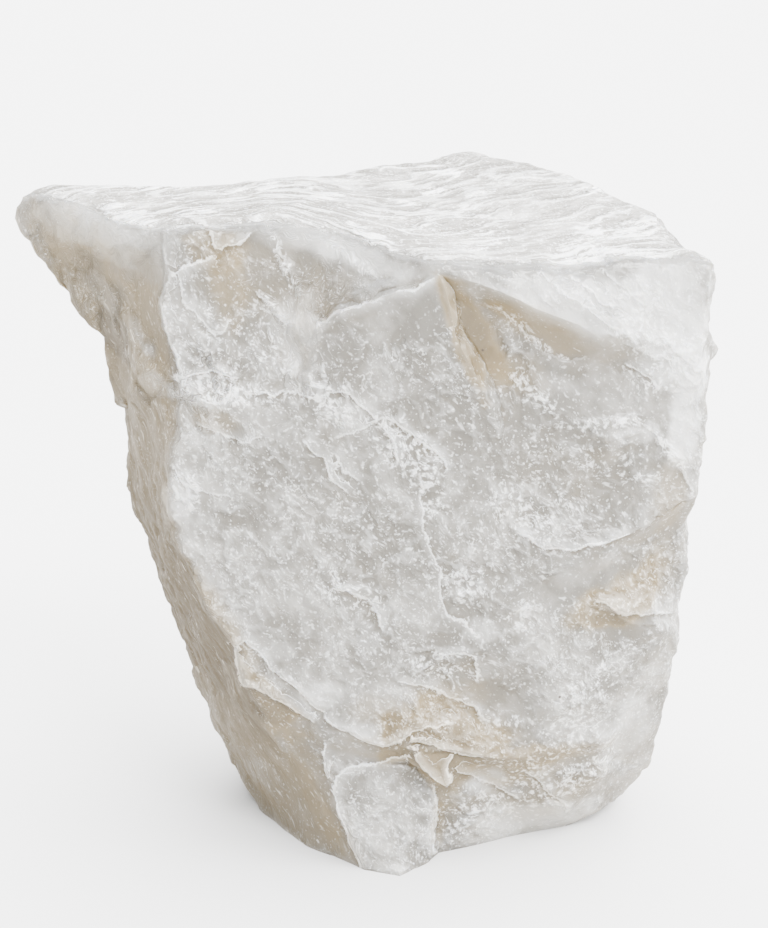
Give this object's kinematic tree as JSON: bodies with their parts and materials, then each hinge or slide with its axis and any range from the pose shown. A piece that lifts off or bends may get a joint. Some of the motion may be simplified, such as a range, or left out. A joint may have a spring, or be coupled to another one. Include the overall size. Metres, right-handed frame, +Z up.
{
  "type": "milky quartz specimen",
  "caption": "Hand-size lump of massive milky quartz with a broken front, a flat top that runs out to a horn, and a flat fracture to stand on.",
  "frame": {"origin": "middle of the stone's bounding box at the height of its flat resting fracture", "axes": "+Z up from the resting face, +X along the stone's widest way with the horn at the -X end, -Y out of the broken front"},
  "size_m": [0.1054, 0.0686, 0.1001],
  "materials": {
    "milky_quartz": "waxy to glassy broken quartz"
  },
  "bodies": {
    "root": {"quartz_block": "milky_quartz"}
  },
  "joints": []
}
